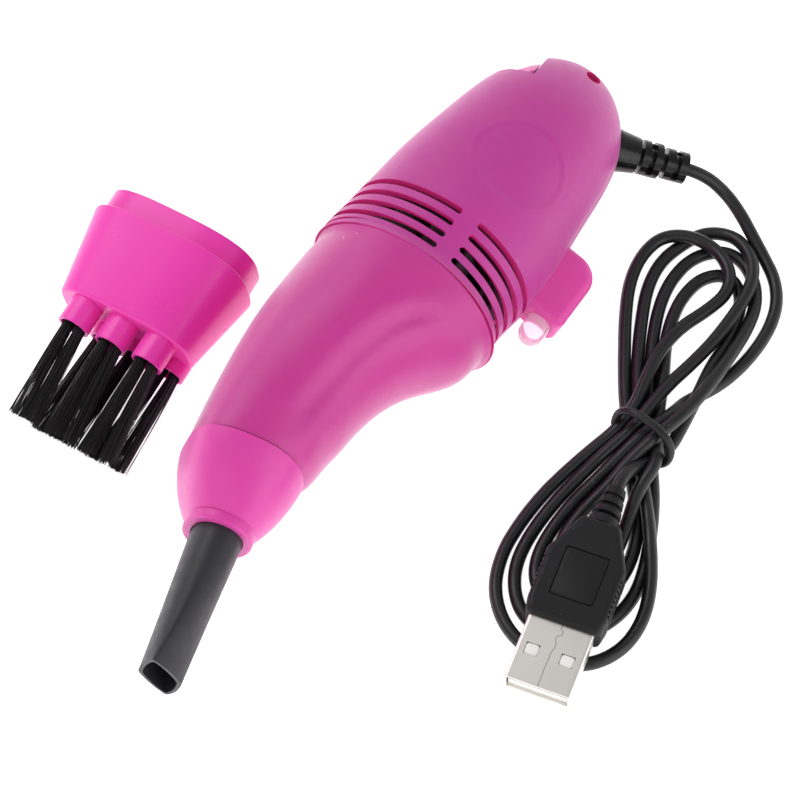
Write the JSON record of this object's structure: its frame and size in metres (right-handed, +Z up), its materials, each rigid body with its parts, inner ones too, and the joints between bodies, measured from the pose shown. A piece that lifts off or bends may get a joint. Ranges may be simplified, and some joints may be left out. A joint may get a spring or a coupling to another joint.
{
  "type": "desktop mini vacuum cleaner",
  "caption": "Hand-held USB keyboard vacuum with slotted two-part housing, pull-off nose, crevice nozzle, lamp, slide switch, loose brush head and a tied black cord with plug.",
  "frame": {"origin": "middle of the footprint of the cleaner and its brush head, on the bench they lie on", "axes": "+Y along the cleaner towards its tail, nozzle towards -Y; +X towards the lamp side and the cord; +Z up"},
  "size_m": [0.1276, 0.1479, 0.0389],
  "materials": {
    "housing_pink": "matte moulded magenta pink",
    "trim_pink": "satin magenta pink",
    "brush_pink": "glossy bright pink",
    "nozzle_rubber": "soft black, satin",
    "black_rubber": "black seal",
    "cord_rubber": "black PVC, satin",
    "tie_plastic": "black coated twist tie",
    "nickel": "nickel plate",
    "tongue_plastic": "white insulator",
    "gold": "plated contacts",
    "zinc": "zinc plated can",
    "cap_plastic": "black inner plastic",
    "inner_plastic": "pink inner plastic",
    "screw_steel": "plain steel",
    "fan_plastic": "white fan",
    "wire_red": "insulated wire",
    "filter_plastic": "dark filter frame",
    "filter_cloth": "white non-woven cloth",
    "clear_resin": "clear resin dome",
    "bristle": "black nylon bristles"
  },
  "bodies": {
    "housing": {"left_shell": "housing_pink", "right_shell": "housing_pink", "seal_ring": "black_rubber", "motor_can": "zinc", "motor_end_cap": "cap_plastic", "motor_plate": "inner_plastic", "motor_screws": "screw_steel", "motor_wires": "wire_red", "fan_shroud": "inner_plastic", "switch_body": "cap_plastic", "lamp_pod": "trim_pink", "lamp": "clear_resin", "lamp_leads": "nickel", "housing_screws": "screw_steel", "strain_relief": "cord_rubber", "power_cord": "cord_rubber", "cord_hank": "cord_rubber", "cord_tie": "tie_plastic", "cord_end": "cord_rubber", "plug_grip": "cord_rubber", "plug_shell": "nickel", "plug_tongue": "tongue_plastic", "plug_contacts": "gold"},
    "cup": {"dust_cup": "housing_pink", "filter_frame": "filter_plastic", "filter_cloth": "filter_cloth"},
    "adapter": {"nozzle_adapter": "trim_pink"},
    "nozzle": {"crevice_nozzle": "nozzle_rubber"},
    "switch": {"switch_button": "trim_pink"},
    "fan": {"impeller": "fan_plastic", "motor_shaft": "screw_steel"},
    "brush_head": {"brush_body": "brush_pink", "front_tufts": "bristle", "back_tufts": "bristle"}
  },
  "joints": [
    {"name": "cup_pull", "type": "slide", "parent": "housing", "child": "cup", "axis": [0, -1, 0], "range_m": [0, 0.012]},
    {"name": "adapter_pull", "type": "slide", "parent": "cup", "child": "adapter", "axis": [0.2381, -0.9681, -0.0774], "range_m": [0, 0.008]},
    {"name": "nozzle_pull", "type": "slide", "parent": "adapter", "child": "nozzle", "axis": [0.2381, -0.9681, -0.0774], "range_m": [0, 0.01]},
    {"name": "switch_slide", "type": "slide", "parent": "housing", "child": "switch", "axis": [0, 1, 0], "range_m": [0, 0.0025]},
    {"name": "fan_spin", "type": "hinge", "parent": "housing", "child": "fan", "pos_m": [0.01567, 0.01884, 0.01942], "axis": [0, 1, 0], "continuous": true},
    {"name": "brush_lift", "type": "slide", "parent": "housing", "child": "brush_head", "axis": [0, 0, 1], "range_m": [0, 0.05]}
  ]
}
